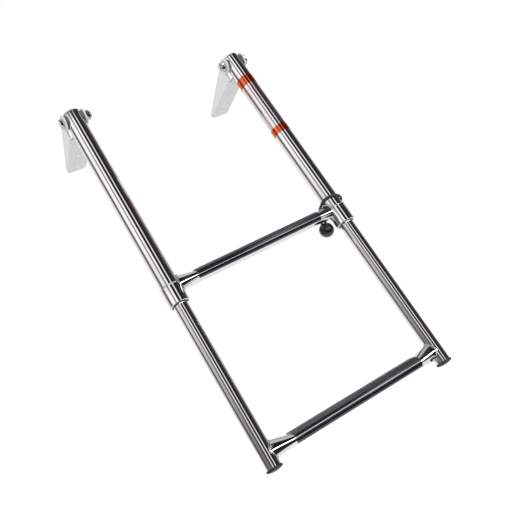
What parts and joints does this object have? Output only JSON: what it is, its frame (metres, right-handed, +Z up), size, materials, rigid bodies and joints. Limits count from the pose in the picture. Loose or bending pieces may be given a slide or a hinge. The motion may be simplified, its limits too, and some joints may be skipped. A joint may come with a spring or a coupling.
{
  "type": "boat boarding ladder",
  "caption": "Folding over-platform boarding ladder: channel brackets, a hinged tubular upper frame and a telescoping lower frame with level black treads.",
  "frame": {"origin": "on the mounting plane, straight below the middle of the pivot axis", "axes": "+Z up, +Y inboard over the platform, +X across the ladder towards the side that carries the retaining cord"},
  "size_m": [0.3768, 0.2771, 0.6672],
  "materials": {
    "polished_stainless": "mirror polished stainless steel tube",
    "satin_stainless": "satin light grey stainless sheet",
    "fastener_steel": "bright machined stainless",
    "tread_plastic": "semi-gloss black ribbed plastic",
    "black_plastic": "satin black moulded plastic",
    "grey_nylon": "dark grey nylon",
    "ball_plastic": "glossy black",
    "elastic_cord": "black braided elastic cord",
    "clear_film": "clear film with fine printed lines",
    "orange_film": "translucent orange-red film"
  },
  "bodies": {
    "brackets": {"left_bracket": "satin_stainless", "right_bracket": "satin_stainless", "left_pivot_bolt": "fastener_steel", "right_pivot_bolt": "fastener_steel", "left_lock_nut": "fastener_steel", "right_lock_nut": "fastener_steel"},
    "upper_ladder": {"left_outer_tube": "polished_stainless", "left_collar": "polished_stainless", "left_pivot_sleeve": "grey_nylon", "left_outboard_saddle": "grey_nylon", "left_inboard_saddle": "grey_nylon", "left_guide_bush": "black_plastic", "right_outer_tube": "polished_stainless", "right_collar": "polished_stainless", "right_pivot_sleeve": "grey_nylon", "right_outboard_saddle": "grey_nylon", "right_inboard_saddle": "grey_nylon", "right_guide_bush": "black_plastic", "middle_rung": "polished_stainless", "middle_tread": "tread_plastic", "label_upper_band": "orange_film", "label_clear_film": "clear_film", "label_lower_band": "orange_film", "retaining_cord": "elastic_cord", "cord_ball": "ball_plastic"},
    "lower_ladder": {"left_inner_tube": "polished_stainless", "left_slider_bush": "black_plastic", "left_foot_cap": "black_plastic", "left_slider_rivet": "fastener_steel", "right_inner_tube": "polished_stainless", "right_slider_bush": "black_plastic", "right_foot_cap": "black_plastic", "right_slider_rivet": "fastener_steel", "bottom_rung": "polished_stainless", "bottom_tread": "tread_plastic"}
  },
  "joints": [
    {"name": "fold_hinge", "type": "hinge", "parent": "brackets", "child": "upper_ladder", "pos_m": [0, 0, 0.025], "axis": [-1, 0, 0], "range_deg": [0, 261]},
    {"name": "telescope_slide", "type": "slide", "parent": "upper_ladder", "child": "lower_ladder", "axis": [0, 0.1513, 0.9885], "range_m": [0, 0.234]}
  ]
}
